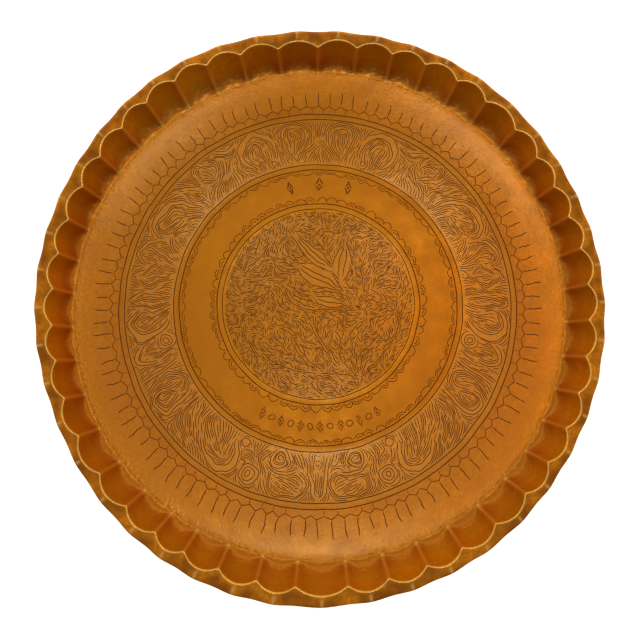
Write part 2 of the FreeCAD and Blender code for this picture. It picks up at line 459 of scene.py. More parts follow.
def scroll_half(draw):
    """The motifs of the band's half from bearing 0 to 180."""
    def line(*points):
        draw.line(band(*points))

    def ribbon(width, *points):
        draw.ribbon(band(*points), width)

    def crescent(width, end_width, *points):
        draw.ribbon(band(*points), width, end_width)

    # a tall drop beside the top, under a tent
    ribbon(1.6, (0, 102.3), (2.6, 98.4), (4.9, 93.8), (6.6, 88.6))
    ribbon(1.4, (9.6, 89.2), (5.6, 94.5), (3.4, 101), (3.3, 107.5), (5.2, 112.8), (8.6, 114.2),
           (11.6, 111.8), (12.6, 106), (11.6, 99), (10.4, 93.5), (9.9, 89.6))
    line((8.9, 93), (6.4, 98.5), (5.6, 104), (6.6, 109), (8.7, 110.6), (10.3, 108), (10.4, 102.5),
         (9.6, 97))
    draw.line(spiral(polar(8.8, 106.6), 1.9, 0.5, 1.5))
    line((11.9, 114.3), (13.6, 109.8), (15.2, 105.2))
    line((17.6, 114.2), (16.4, 110), (15.4, 105.6))
    # the first great crescent and its bead
    crescent(3.6, 0.9, (15.6, 93), (15.2, 99), (16.6, 106.5), (19.6, 111.6), (23.4, 111.9), (26.4, 107.6),
             (27.4, 101.4), (26.4, 95.4), (24, 90.6))
    draw.disc(polar(17.6, 91.2), 1.6)
    ribbon(1.2, (27.2, 110.4), (29, 108.4), (31.2, 107.9), (33.6, 109.2), (35.6, 112.8))
    ribbon(1.5, (34.6, 108.5), (35.1, 103.5), (36.2, 99.6), (38, 96.9), (40.8, 94.9), (43.4, 91.6),
           (44.4, 88.6))
    line((37.8, 101.5), (37.2, 106.5), (39.4, 110.6), (42.4, 111.2), (42.6, 106), (41, 101), (38.8, 98.8))
    line((30.5, 90), (30.8, 96), (30.2, 102))
    # a comma with its tail
    crescent(3, 0.9, (50.6, 89.2), (50.9, 95), (52.4, 102), (55.6, 108.2), (60, 111.4),
             (64.4, 110.4), (67.2, 105.6), (66.8, 101))
    line((66.2, 102.2), (64.6, 98.6), (61.4, 96.2), (58.4, 95.4))
    ribbon(1.2, (65, 97.9), (67.2, 96.8), (69.2, 93.2), (70.2, 88.8))
    line((46.2, 92), (46.8, 98), (48.8, 102.8))
    # a tall petal, a lozenge of two lines and a spindle
    crescent(2.2, 0.9, (69.6, 88.9), (67.9, 95.2), (68.2, 103), (70.4, 109.6), (73.6, 112.9),
             (76.6, 111.2), (77.6, 106.4))
    ribbon(1.1, (72.4, 110), (71.4, 105.6), (72.8, 100.6), (74.2, 95.2), (74.6, 89.2))
    line((80.4, 113.6), (78.9, 110), (77.8, 106.2))
    ribbon(1, (81.4, 109.2), (83.4, 105.4), (84.2, 101.6), (81.4, 95.4), (79.8, 90.8))
    ribbon(1, (81.4, 109.2), (78.6, 103.6), (77.6, 99.4), (79.4, 94.6))
    ribbon(1, (89, 88.8), (88, 96), (88.4, 103.4), (90, 111.6), (91.2, 104), (91.4, 96.5),
           (90, 88.8))
    # the great crescent at the side, and the rosette
    crescent(3.6, 0.9, (92, 107.2), (94.4, 111.4), (97.6, 112.4), (100.4, 109.6), (101.4, 104),
             (100.9, 98), (98.6, 92.6), (95.8, 89.2))
    line((98.8, 114.3), (101.8, 111), (103, 104.6), (102.4, 98.6))
    for radius in (5.2, 3.1, 1.5):
        draw.disc(polar(103.7, 92.9), radius)
    # an arch with its post
    crescent(2.2, 1, (103.2, 101.2), (103.6, 106.6), (105.4, 111.2), (107.5, 112.9), (109.3, 110.6),
             (110, 105.6), (109.8, 100.4))
    line((106.2, 98.6), (106.5, 104.6), (107.5, 108.6))
    ribbon(1, (108.4, 103.8), (108.2, 96.6), (107.6, 89))
    ribbon(1.8, (115.2, 114.6), (114.2, 109), (113.7, 102.6), (113.4, 96.4), (112, 90.2))
    line((112.2, 112.6), (110.9, 106.4), (110, 99), (109.6, 91))
    # an S-scroll with a drop, under a crown
    ribbon(1.2, (118.8, 114), (117, 107.4), (115.6, 101.4), (115.4, 95.6), (117, 91), (120, 90.2),
           (122.2, 93.2), (122.3, 97.2))
    ribbon(1, (122.3, 96.9), (121, 101.8), (120.6, 106.6), (122.4, 109.6), (124.4, 107.2),
           (124.3, 102), (122.6, 97.2))
    crescent(2.6, 1, (119.9, 104.2), (119.8, 109), (121.6, 112.4), (124.2, 112.4), (126.2, 108.4),
             (126, 101.6), (125, 95), (124.4, 88.8))
    ribbon(1, (128.4, 88.8), (128, 96), (129.6, 102.6), (132.6, 107.4), (136.2, 110.2))
    line((131.2, 90), (133, 97), (137, 102.4))
    # a second comma, ending in a bead
    crescent(3.4, 1, (139.6, 102.6), (141.6, 107.6), (145.2, 111.4), (149, 111.8), (151.8, 107.8),
             (152, 102), (150.6, 96.2), (150.2, 91.4))
    draw.disc(polar(152.9, 91.2), 2.2)
    # a snail with its tails
    for radius in (5.3, 3.4, 1.5):
        draw.disc(polar(157.7, 107.2), radius)
    ribbon(1.5, (161.3, 106), (161, 100.6), (159.8, 95.2), (161.8, 89.4))
    ribbon(1.1, (154.6, 105.4), (155.8, 101.8), (153, 99.4), (152.4, 95.6))
    line((158.8, 101.2), (157.4, 97.6), (154.8, 95.8))
    # the volute, the big leaf above it and the foot of the last arch
    draw.ribbon(spiral(polar(166.4, 93.1), 6, 1.2, 2.1, 200), 1.5)
    ribbon(1.8, (162.6, 96.4), (165.4, 99.6), (169.2, 100.7), (173.2, 99.4))
    ribbon(1.2, (165.8, 99.6), (163.8, 105.2), (164.6, 111), (168.6, 112.9), (173.6, 112.6),
           (176.2, 107.6), (175.8, 102.2), (173.4, 98.8))
    line((166, 107.4), (170.4, 109.8), (174, 112.2))
    line((167, 105), (171.2, 106.8), (174.8, 110))
    ribbon(2, (175.4, 88.8), (176.9, 95.2), (177.5, 102.2), (177.9, 108.6), (179, 112.2),
           (180, 113.2))
    line((178.8, 90), (178.6, 94), (179.4, 97))


def mirrored(half):
    """The same drawing on the other side of the Y axis."""
    other = Chasing()
    flip = np.array([-1.0, 1.0])
    other.plain = [by_hand(p * flip, 0.5, 17.0) for p in half.plain]
    for stroke in half.strokes:
        line = by_hand(stroke.points * flip, 0.5, 17.0)
        other.strokes.append(Stroke(line, stroke.width, stroke.depth, stroke.closed))
    other.guides = [by_hand(g * flip, 0.5, 17.0) for g in half.guides]
    return other


def draw_scroll_band():
    draw = Chasing()
    scroll_half(draw)
    other = mirrored(draw)
    draw.strokes += other.strokes
    draw.plain += other.plain
    draw.guides += other.guides
    draw.disc(polar(180.0, 90.6), 1.7)
    low, low_centre = middle_double[1]
    high, high_centre = outer_double[0]
    shift = np.array(band_centre)
    draw.strokes = [stroke._replace(points=stroke.points + shift) for stroke in draw.strokes]
    draw.plain = [outline + shift for outline in draw.plain]
    draw.guides = [guide + shift for guide in draw.guides]
    draw.ring(low, low_centre)
    draw.ring(high, high_centre)
    draw.strokes = untangle(draw.strokes)

    def inside(x, y, margin):
        r = np.hypot(x - band_centre[0], y - band_centre[1])
        return (r > low + 0.7 - margin) & (r < high - 0.7 + margin)

    hatching = Hatching(draw, inside, high + 2.0, spacing=1.16, wander=0.2, wavelength=14.0,
                        lengths=(9.0, 34.0), seed=21)
    hatching.run(shortest=1.6)
    return draw


def draw_medallion():
    """A laurel spray on a ground of fine, wandering lines."""
    draw = Chasing()

    def line(*points):
        draw.line(spline(points))

    def leaf(veins, edge, other_edge):
        draw.leaf(spline(edge), spline(other_edge), veins)

    leaf(2, [(-14, 43.2), (-6, 36), (2, 30.4), (6, 24.4), (7.6, 21.2)],
         [(-17.2, 42), (-14, 37.2), (-9.2, 30.8), (-4.4, 24.4), (2, 21.2), (7.6, 18.8)])
    leaf(2, [(12.8, 13.2), (8.4, 18.8), (8.8, 26), (11.6, 31.6), (15.4, 36)],
         [(14, 12.4), (17.2, 18), (19.6, 24.4), (19.2, 30), (17.2, 34.4), (15.6, 36)])
    leaf(2, [(-14, 23.6), (-8, 24.2), (-4.4, 23.4), (2, 20.6), (7.4, 17.9), (11, 12.4), (14.6, 6.9)],
         [(-14, 23.6), (-10.8, 17.2), (-6, 12.4), (0.4, 10), (8.4, 8.4), (14, 6.8)])
    leaf(1, [(-3, 4.4), (5.2, 4), (11.6, 2), (15.6, 0.4)],
         [(-3, 4.4), (-0.4, -0.8), (7.6, -2.4), (13.2, -1.6), (16, 0.4)])
    line((-20.4, 12.4), (-17.2, 10), (-10.8, 6), (-4.4, 4.4))
    line((-20.8, 10.8), (-18.8, 4.4), (-14, -1.2), (-6, -3.6), (4, -3.6), (12, -3.2), (17, -0.6))
    line((-16.8, 7.6), (-13, 3.8), (-6, 1.2), (-0.4, -1.2))
    line((-18.6, 8.6), (-15.4, 2.8), (-9, -0.8), (-2, -2.4))
    line((-6, 4.8), (0.4, 6.8), (8.4, 6.8), (14.8, 4.4))
    line((7.6, 18.8), (11.6, 12.8), (15.2, 6.8), (18, 0))
    # the lower sprays
    line((-17.2, -22), (-12.4, -29.6), (-6.8, -36.4), (-0.4, -41.2))
    line((-15.6, -21), (-10.8, -28.4), (-5.2, -35), (1.2, -39.8))
    line((-4.4, -10), (2, -22.8), (8.4, -32.4), (12.4, -38))
    line((-6, -10.8), (0.6, -23.6), (6.8, -33), (10.8, -38.6))
    line((4, -22), (5.2, -18), (8.5, -15.5))
    line((4, -22), (10, -28), (12.4, -21), (8.5, -15.5))
    line((-11.6, -22.8), (-6, -23.2), (-1.2, -25.2))
    line((-11.6, -22.8), (-7.4, -27.2), (-1.2, -25.2))
    line((48.4, -3.6), (46, -18), (38, -30), (24.4, -44.4))
    line((-31.6, -32.4), (-17.2, -39.6), (-6, -41.2), (6.8, -42), (18, -42.8), (22.8, -46))
    line((-35.6, -41.2), (-36.4, -34), (-40.4, -26), (-45.2, -17.2))
    root = np.array([24.4, -44.4])
    for away in (-52, -34, -16, 2, 20, 38):
        line(root, root + polar(away, 8.0), root + polar(away + 8.0, 15.0))
    # leaves sketched in the ground on the left
    line((-43.6, 21), (-38.8, 25), (-34, 30), (-30, 37.6))
    line((-43.6, 18), (-37.8, 21.4), (-32, 27))
    line((-39.6, -0.4), (-35.6, 3.8), (-30, 6))
    line((-47.6, -12.4), (-45.4, -8.6), (-40, -7.6), (-35.6, -8.4))
    radius, centre = inner_double[0]
    draw.ring(radius, centre)
    # loose curls that the fine ground lines turn around
    rng = np.random.default_rng(5)
    for bearing in np.arange(0.0, 360.0, 14.5):
        for reach in (18.0, 30.0, 42.0, 52.0):
            if reach < 20.0 and bearing % 29.0:
                continue
            place = polar(bearing + reach * 2.3, reach) + rng.uniform(-2.0, 2.0, 2)
            heading = rng.uniform(0.0, math.pi)
            along = np.array([math.cos(heading), math.sin(heading)])
            across = np.array([-along[1], along[0]])
            draw.guides.append(spline([place - 3.2 * along, place + 0.9 * across, place + 3.2 * along]))
    draw.strokes = untangle([stroke._replace(width=hatch_width) for stroke in draw.strokes])

    def inside(x, y, margin):
        return np.hypot(x - centre[0], y - centre[1]) < radius - 0.6 + margin

    hatching = Hatching(draw, inside, radius + 2.0, spacing=0.95, wander=0.42, wavelength=10.0,
                        lengths=(3.5, 11.0), seed=31)
    hatching.run(shortest=1.2)
    return draw


def scallops(draw, ring, count, height, start, seed):
    """Small arches on a ring, outwards for a positive height; some have a second line."""
    radius, centre = ring
    rng = np.random.default_rng(seed)
    pitch = 360.0 / count
    foot = radius + math.copysign(0.5, height)
    for k in range(count):
        middle = start + pitch * (k + rng.uniform(-0.12, 0.12))
        tall = height * rng.uniform(0.85, 1.1)
        half = 0.47 * pitch
        shape = [(-half, 0.0), (-0.86 * half, 0.6 * tall), (0.0, tall), (0.86 * half, 0.6 * tall),
                 (half, 0.0)]
        for scale in (1.0, 0.56):
            if scale < 1.0 and rng.uniform() < 0.35:
                continue
            arch = [polar(middle + scale * b, foot + scale * h) for b, h in shape]
            draw.line(spline(arch) + np.asarray(centre), 0.55, 0.1)


def lozenge(draw, bearing, radius, tall, wide, depth=0.085):
    """A small four-pointed figure with a dot in it."""
    turn = 0.5 * wide / math.radians(1.0) / radius
    tips = [(0.0, tall / 2), (turn, 0.0), (0.0, -tall / 2), (-turn, 0.0)]
    for (b0, h0), (b1, h1) in zip(tips, tips[1:] + tips[:1]):
        bend = polar(bearing + 0.36 * (b0 + b1), radius + 0.36 * (h0 + h1))
        edge = spline([polar(bearing + b0, radius + h0), bend, polar(bearing + b1, radius + h1)])
        draw.line(edge, 0.95, depth)
    draw.line(circle(0.5, polar(bearing, radius)), 0.6, depth, True)


def draw_plain_band():
    """Two scalloped rings, with a border of small generic figures between them."""
    draw = Chasing()
    scallops(draw, inner_double[1], count=62, height=3.6, start=1.5, seed=41)
    scallops(draw, middle_double[0], count=75, height=-2.9, start=0.0, seed=42)
    draw.ring(*inner_double[1])
    draw.ring(*middle_double[0])
    figures_r = 72.6
    for bearing in (-14.0, 0.0, 14.0):
        lozenge(draw, bearing, figures_r + 1.0, 9.4, 5.6, 0.12)
    pitch = 4.6
    for k in range(-6, 7):
        bearing = closing_bearing + pitch * k
        if k % 2:
            draw.line(circle(1.7, polar(bearing, figures_r)), 0.9, 0.075, True)
        else:
            lozenge(draw, bearing, figures_r, 7.6, 4.8)
    return draw


def draw_margin():
    """The outer ring, a honeycomb edge on it and a row of short radial lines."""
    draw = Chasing()
    radius, centre = outer_double[1]
    draw.ring(radius, centre)
    cells = 106
    pitch = 360.0 / cells
    inner_r, apex_r, tick_r = 122.3, 124.7, 132.8
    rng = np.random.default_rng(51)
    apexes = pitch * (np.arange(cells) + rng.uniform(-0.09, 0.09, cells))
    heights = apex_r + rng.uniform(-0.4, 0.4, cells)
    zigzag = []
    for k in range(cells):
        a, b = apexes[k], apexes[(k + 1) % cells] + (360.0 if k == cells - 1 else 0.0)
        middle = (a + b) / 2.0
        valley = inner_r + rng.uniform(-0.3, 0.3)
        zigzag += [polar(a, heights[k]), polar(middle, valley)]
        lean = rng.uniform(-0.35, 0.35)
        longer = 1.1 * (1.0 - math.cos(math.radians(a)))
        top = tick_r + longer + rng.uniform(-1.1, 1.1)
        start = heights[k] - 0.35
        tick = spline([polar(a, start), polar(a + 0.4 * lean, (start + top) / 2.0), polar(a + lean, top)])
        draw.line(tick + np.asarray(centre), 0.62, 0.15)
        if rng.uniform() < 0.85:
            link = spline([polar(middle, radius - 0.2), polar(middle, valley + 0.35)])
            draw.line(link + np.asarray(centre), 0.52, 0.12)
    zigzag.append(zigzag[0])
    draw.line(resample(np.array(zigzag), line_step) + np.asarray(centre), 0.54, 0.12, True)
    return draw


# ======== surfaces ========

def uneven(x, y):
    """The slight unevenness that hammering leaves, none at the wall's foot."""
    fade = np.clip((foot_r - np.hypot(x, y)) / 14.0, 0.0, 1.0)
    return fade * (0.05 * ripple(x, y, 60.0, 61) + 0.012 * ripple(x, y, 14.0, 62))


def planishing(x, y):
    """Small hammer marks along the foot of the wall."""
    nearness = np.exp(-((np.hypot(x, y) - foot_r - 1.4) / 2.5) ** 2)
    return 0.028 * nearness * ripple(x, y, 3.6, 63, 14)


def ground(x, y):
    """Height of the floor and the dished margin."""
    out = np.clip(np.hypot(x, y) - floor_r, 0.0, foot_r - floor_r)
    rise = rise_radius - np.sqrt(rise_radius ** 2 - out ** 2)
    return sheet + rise + uneven(x, y) + planishing(x, y)


def ground_normals(x, y):
    small = 0.05
    dx = (ground(x + small, y) - ground(x - small, y)) / (2.0 * small)
    dy = (ground(x, y + small) - ground(x, y - small)) / (2.0 * small)
    normals = np.column_stack([-dx, -dy, np.ones(len(x))])
    return normals / np.linalg.norm(normals, axis=1)[:, None]


def thin_out(points):
    """Fewer points where a line is straight."""
    kept = [0]
    heading = None
    for k in range(1, len(points) - 1):
        leg = points[k + 1] - points[k]
        angle = math.atan2(leg[1], leg[0])
        if heading is None:
            heading = angle
        turned = abs((angle - heading + math.pi) % (2.0 * math.pi) - math.pi)
        far = np.hypot(*(points[k] - points[kept[-1]]))
        if turned > math.radians(turn_step) or far > longest_step - line_step:
            kept.append(k)
            heading = angle
    kept.append(len(points) - 1)
    return points[kept]


def stroke_ribs(stroke):
    """Centre points of a groove, and its half width and depth at each."""
    points = thin_out(stroke.points)
    half, deep = np.full(len(points), stroke.width / 2.0), np.full(len(points), stroke.depth)
    if not stroke.closed:
        lengths = np.concatenate([[0.0], np.cumsum(np.hypot(*np.diff(points, axis=0).T))])
        from_end = np.minimum(lengths, lengths[-1] - lengths)
        share = np.clip(0.12 + from_end / min(line_end, 0.45 * lengths[-1]), 0.0, 1.0)
        half, deep = half * share, deep * share
    return points, half, deep


def groove_depths(places, ribs):
    """Depth of the deepest groove at each place."""
    starts, ends, widths, depths = [], [], [], []
    for points, half, deep in ribs:
        starts.append(points[:-1])
        ends.append(points[1:])
        widths.append(np.column_stack([half[:-1], half[1:]]))
        depths.append(np.column_stack([deep[:-1], deep[1:]]))
    a, b, w, d = (np.vstack(part) for part in (starts, ends, widths, depths))
    tree = KDTree(len(a))
    for k, (x, y) in enumerate(((a + b) / 2.0).tolist()):
        tree.insert((x, y, 0.0), k)
    tree.balance()
    reach = longest_step / 2.0 + ring_width
    owner, segment = [], []
    for k, (x, y) in enumerate(places.tolist()):
        for _, s, _ in tree.find_range((x, y, 0.0), reach):
            owner.append(k)
            segment.append(s)
    owner, segment = np.array(owner, int), np.array(segment, int)
    leg = b[segment] - a[segment]
    t = ((places[owner] - a[segment]) * leg).sum(axis=1) / np.maximum((leg ** 2).sum(axis=1), 1e-12)
    t = np.clip(t, 0.0, 1.0)
    gap = np.hypot(*(places[owner] - a[segment] - leg * t[:, None]).T)
    half = w[segment, 0] * (1 - t) + w[segment, 1] * t
    deep = d[segment, 0] * (1 - t) + d[segment, 1] * t
    value = deep * np.clip(1.0 - gap / np.maximum(half, 1e-6), 0.0, 1.0)
    total = np.zeros(len(places))
    np.maximum.at(total, owner, value)
    return total


def zone_triangles(rims, ribs, extra, inner_r):
    """Triangles between the rims that keep each groove's sides and bottom.

    Also where each given point ended up.
    """
    points, edges = [], []

    def add(line, closed):
        start, count = len(points), len(line)
        edges.extend((start + k, start + (k + 1) % count) for k in range(count if closed else count - 1))
        points.extend(line.tolist())

    for rim in rims:
        add(rim, True)
    for centre_line, half, _ in ribs:
        for side in (-1.0, 0.0, 1.0):
            add(side_line(centre_line, side * half), False)
    points += extra.tolist()
    result = delaunay_2d_cdt([Vector(p) for p in points], edges, [], 0, 1e-5, True)
    places = np.array([tuple(p) for p in result[0]])
    faces = np.array(result[2], int)
    if inner_r is not None:
        radii = np.hypot(*places.T)[faces]
        faces = faces[(radii > inner_r + 1e-3).any(axis=1)]
    return places, faces, {given: k for k, merged in enumerate(result[3]) for given in merged}


def filler_points(inner_r, outer_r, spacing):
    """Points in rings, to carry the sheet's slight curvature."""
    found = []
    radius = (inner_r or 0.0) + spacing
    while radius < outer_r - 0.6 * spacing:
        count = int(2.0 * math.pi * radius / spacing)
        offset = 180.0 / count * (len(found) % 2)
        found.append(polar(offset + 360.0 * np.arange(count) / count, radius))
        radius += 0.87 * spacing
    return np.vstack(found)


def cut_faces(rims, outer, found, low_found):
    """The cut edges' faces, where the next zone goes on."""
    faces = []
    start = 0
    for rim in rims:
        for k in range(len(rim)):
            i, j = start + k, start + (k + 1) % len(rim)
            strip = [found[i], found[j], low_found[j], low_found[i]]
            faces.append(strip if rim is outer else strip[::-1])
        start += len(rim)
    return faces


def shade_sheet(mesh, faces, smooth, in_groove):
    """The smooth sheet's own normals, with flat walls in the grooves and cuts."""
    face_sides = np.array([p.normal[:] for p in mesh.polygons])
    loop_normals = []
    for polygon, corners in enumerate(faces):
        flat = len(corners) == 4 or in_groove[corners].any()
        for corner in corners:
            loop_normals.append(face_sides[polygon] if flat else smooth[corner])
    mesh.shade_smooth()
    mesh.normals_split_custom_set(np.array(loop_normals).tolist())


def chased_sheet(name, draw, inner, outer, filler, planished=None):
    """One zone of the sheet with its grooves: a closed mesh between two rims of points."""
    rims = [rim for rim in (inner, outer) if rim is not None]
    inner_r = None if inner is None else float(np.hypot(*inner[0]))
    outer_r = float(np.hypot(*outer[0]))
    ribs = [stroke_ribs(stroke) for stroke in draw.strokes]
    extra = filler_points(inner_r, outer_r, filler)
    if planished is not None:
        extra = extra[np.hypot(*extra.T) < planished]
        extra = np.vstack([extra, filler_points(planished, outer_r, planished_spacing)])
    far = groove_depths(extra, [(p, h + 0.5, d) for p, h, d in ribs]) == 0.0
    places, faces, found = zone_triangles(rims, ribs, extra[far], inner_r)
    depths = groove_depths(places, ribs)
    x, y = places.T
    top = np.column_stack([x, y, ground(x, y) - depths])

    # the under side, plain
    extra = filler_points(inner_r, outer_r, under_spacing)
    low_places, low_faces, low_found = zone_triangles(rims, [], extra, inner_r)
    lx, ly = low_places.T
    low_normals = ground_normals(lx, ly)
    low = np.column_stack([lx, ly, ground(lx, ly)]) - sheet * low_normals
    base = len(top)
    low_found = {given: base + k for given, k in low_found.items()}
    all_faces = faces.tolist() + (low_faces[:, ::-1] + base).tolist()
    all_faces += cut_faces(rims, outer, found, low_found)

    vertices = np.vstack([top, low])
    mesh = bpy.data.meshes.new(name)
    mesh.from_pydata((vertices * MM).tolist(), [], all_faces)
    radius = np.hypot(*vertices[:, :2].T)
    under = np.arange(len(vertices)) >= base
    groove = np.concatenate([depths / outline_depth, np.zeros(len(low))])
    # foot: where the painted shade at the wall's foot lies, and the hammer marks
    set_attributes(mesh, groove=groove, foot=np.exp(-((radius - foot_r) / 3.0) ** 2),
                   chased=np.where(under, 0.0, hatched_share(radius)),
                   haze=np.where(under, 1.0, haze_share(radius)))
    smooth = np.vstack([ground_normals(x, y), -low_normals])
    shade_sheet(mesh, all_faces, smooth, groove > 1e-4)
    return mesh


def hatched_share(radius):
    """1 where the ground is hatched, 0 in plain metal."""
    medallion = np.clip((56.8 - radius) / 1.5, 0.0, 1.0)
    scrolls = np.clip((radius - 87.2) / 1.5, 0.0, 1.0) * np.clip((115.0 - radius) / 1.5, 0.0, 1.0)
    return medallion + scrolls


def haze_share(radius):
    """How much haze lies on the metal: none on the polished plain band, half at the foot."""
    plain = np.clip(radius - 57.8, 0.0, 1.0) * np.clip(86.3 - radius, 0.0, 1.0)
    near_foot = np.clip((radius - foot_r + 9.0) / 9.0, 0.0, 1.0)
    return (1.0 - plain) * (1.0 - 0.5 * near_foot ** 2)


def set_attributes(mesh, **values):
    """Numbers at the vertices, by name. The material reads 0 where a name isn't given."""
    for name, numbers in values.items():
        attribute = mesh.attributes.new(name, "FLOAT", "POINT")
        attribute.data.foreach_set("value", np.ascontiguousarray(numbers, np.float32))


# ======== the wall and the flange ========

def bumps_at(bumps, bearing):
    """Sum of smooth bumps (bearing, spread, amount) at a bearing."""
    total = 0.0
    for centre, spread, amount in bumps:
        away = abs((bearing - centre + 180.0) % 360.0 - 180.0)
        total = total + amount * np.exp(-(away / spread) ** 2)
    return total


def ridge_bearings():
    """Bearings of the ridges, one per flute, starting after the closing flute."""
    widths = []
    for i in range(flute_count - 1):
        bearing = closing_bearing + 360.0 * (i + 1) / flute_count
        widths.append(1.0 + wobble * math.sin(wobble_step * i) + bumps_at(stretches, bearing))
    scale = (360.0 - closing_width) / sum(widths)
    bearings = [closing_bearing + closing_width / 2.0]
    for width in widths:
        bearings.append(bearings[-1] + width * scale)
    return bearings


def along(r, z, slope, distance):
    angle = math.radians(slope)
    return np.array([r + distance * math.cos(angle), z + distance * math.sin(angle)])


def profile(top_r, top_z, foot_handle, top_handle, steepness, v):
    """Points (r, z) of the wall's section, at the shares v of its way up."""
    foot, top = np.array([foot_r, foot_z]), np.array([top_r, top_z])
    foot_pull = along(foot_r, foot_z, foot_slope, foot_handle)
    top_pull = along(top_r, top_z, steepness, -top_handle)
    v = v[:, None]
    w = 1.0 - v
    return w ** 3 * foot + 3 * w ** 2 * v * foot_pull + 3 * w * v ** 2 * top_pull + v ** 3 * top


class Columns:
    """The wall's vertical lines: bearing, share of the way across their flute, flute's width."""

    def __init__(self):
        ridges = ridge_bearings()
        ridges.append(ridges[0] + 360.0)
        share = np.arange(columns_per_flute) / columns_per_flute
        spans = list(zip(ridges, ridges[1:]))
        self.bearing = np.concatenate([a + (b - a) * share for a, b in spans])
        self.share = np.tile(share, flute_count)
        self.width = np.repeat([math.radians(b - a) * ridge_top_r for a, b in spans], columns_per_flute)
        self.from_ridge = np.minimum(self.share, 1.0 - self.share) * self.width


def arch(columns, rounding):
    """How far each column is out from the ridge towards the crown, 0 to 1."""
    eased = np.sqrt(columns.from_ridge ** 2 + rounding ** 2) - rounding
    u = eased / columns.width
    w = 1.0 - u
    middle = (16.0 - 8.0 * shoulder) / 6.0
    return 4 * u * w ** 3 * shoulder + 6 * u ** 2 * w ** 2 * middle + 4 * u ** 3 * w * shoulder


def pleat(columns):
    """Height of the flange's outer edge between its valleys, 0, and crests, 1."""
    h = 1.0 - np.abs(2.0 * columns.share - 1.0)
    return 6 * h ** 2 * (1 - h) ** 2 * 0.3 + 4 * h ** 3 * (1 - h) * 0.8 + h ** 4


def rim_sections(columns):
    """(r, z) of the upper face, row by row from the wall's foot to the flange's edge."""
    out = arch(columns, ridge_round)[None, :, None]
    last = 1.0 - arch_round / (3.0 * crown_top_handle)
    v = np.linspace(0.0, 1.0, wall_rows) ** 1.25 * last
    ridge = (ridge_top_r, ridge_top_z, ridge_foot_handle, ridge_top_handle, ridge_steepness)
    crown = (crown_top_r, rim_z, crown_foot_handle, crown_top_handle, crown_steepness)
    on_ridge, on_crown = profile(*ridge, v)[:, None, :], profile(*crown, v)[:, None, :]
    wall = on_ridge + out * (on_crown - on_ridge)
    top_bulge = bumps_at(top_bulges, columns.bearing)
    follow = 3.0 * v ** 2 * (1.0 - v) + v ** 3
    wall[:, :, 0] += follow[:, None] * top_bulge[None, :]
    ridge_top, crown_top = np.array(ridge[:2]), np.array(crown[:2])
    corner = ridge_top + out[0] * (crown_top - ridge_top)
    corner[:, 0] += top_bulge
    height = pleat(columns)[:, None]
    valley, crest = np.array([pleat_r, pleat_z]), np.array([flange_r, flange_z])
    edge = valley + height * (crest - valley)
    swell = 0.5 - 0.5 * np.cos(2.0 * math.pi * columns.share)
    edge[:, 0] = pleat_r + swell * (flange_r - pleat_r) + bumps_at(edge_bulges, columns.bearing)
    outward = edge - corner
    outward /= np.linalg.norm(outward, axis=1)[:, None]
    landing = corner + arch_round * outward
    bend = []
    for t in (0.17, 0.34, 0.5, 0.66, 0.83, 1.0):
        bend.append((1 - t) ** 2 * wall[-1] + 2 * t * (1 - t) * corner + t ** 2 * landing)
    flat = [landing + share * (edge - landing) for share in (0.33, 0.67, 1.0)]
    return np.concatenate([wall, np.array(bend), np.array(flat)]), wall_rows + 2


def under_face(upper, columns):
    """The sheet's other face, its thickness away."""
    leg = np.gradient(upper, axis=0)
    leg /= np.linalg.norm(leg, axis=2)[:, :, None]
    closed = np.concatenate([upper[:, -1:, 0], upper[:, :, 0], upper[:, :1, 0]], axis=1)
    across = np.gradient(closed, axis=1)
    step = columns.width / columns_per_flute
    lean = np.sqrt(1.0 + (across[:, 1:-1] / step[None, :]) ** 2)
    lower = upper.copy()
    lower[:, :, 0] += leg[:, :, 1] * sheet * lean
    lower[:, :, 1] -= leg[:, :, 0] * sheet
    return lower


def in_space(section, columns):
    angle = np.radians(columns.bearing)[None, :]
    r = section[:, :, 0]
    return np.stack([r * np.sin(angle), r * np.cos(angle), section[:, :, 1]], axis=2)


def grid_normals(grid):
    """Normals of a grid that is closed both ways: rows up and out, columns clockwise."""
    up = np.roll(grid, -1, axis=0) - np.roll(grid, 1, axis=0)
    clockwise = np.roll(grid, -1, axis=1) - np.roll(grid, 1, axis=1)
    normals = np.cross(clockwise, up)
    return normals / np.maximum(np.linalg.norm(normals, axis=2), 1e-9)[:, :, None]


def rim_piece(name, grid, normals, rows, wear, ridge):
    """A closed ring mesh from some rows of the rim's grid. Its haze thickens at the foot."""
    points, n = grid[rows], normals[rows]
    count, columns = points.shape[:2]
    i = np.arange(count)[:, None]
    j = np.arange(columns)[None, :]
    next_i, next_j = (i + 1) % count, (j + 1) % columns
    corners = [i * columns + j, i * columns + next_j, next_i * columns + next_j, next_i * columns + j]
    faces = np.stack([c + 0 * (i + j) for c in corners], axis=2).reshape(-1, 4)
    mesh = bpy.data.meshes.new(name)
    mesh.from_pydata((points.reshape(-1, 3) * MM).tolist(), [], faces.tolist())
    rise = points[:, :, 2].ravel() - foot_z
    # foot: where the painted shade at the wall's foot lies, and the hammer marks
    set_attributes(mesh, wear=wear[rows].ravel(), ridge=ridge[rows].ravel(),
                   haze=1.0 + 0.8 * np.exp(-(rise / 3.0) ** 2),
                   foot=np.clip(1.25 - rise / 9.0, 0.0, 1.0))
    mesh.shade_smooth()
    mesh.normals_split_custom_set_from_vertices(n.reshape(-1, 3).tolist())
    return mesh


def foot_glints(points):
    """Painted glints: short bright streaks along the foot, a painted highlight that is strongest on the
    side towards +Y.
    """
    x, y, z = points[..., 0], points[..., 1], points[..., 2]
    arc = np.arctan2(x, y) * foot_r
    rise = z - foot_z
    streaks = ripple(arc * 0.9, rise * 3.2, 5.0, 64, 14)
    # the painted glints fade away from +Y, where less light falls on the foot
    towards_y = np.clip(0.1 + y / foot_r, 0.0, 1.0)
    return 0.5 * towards_y * np.clip(streaks - 0.4, 0.0, 1.0) * np.exp(-((rise - 1.5) / 1.9) ** 2)


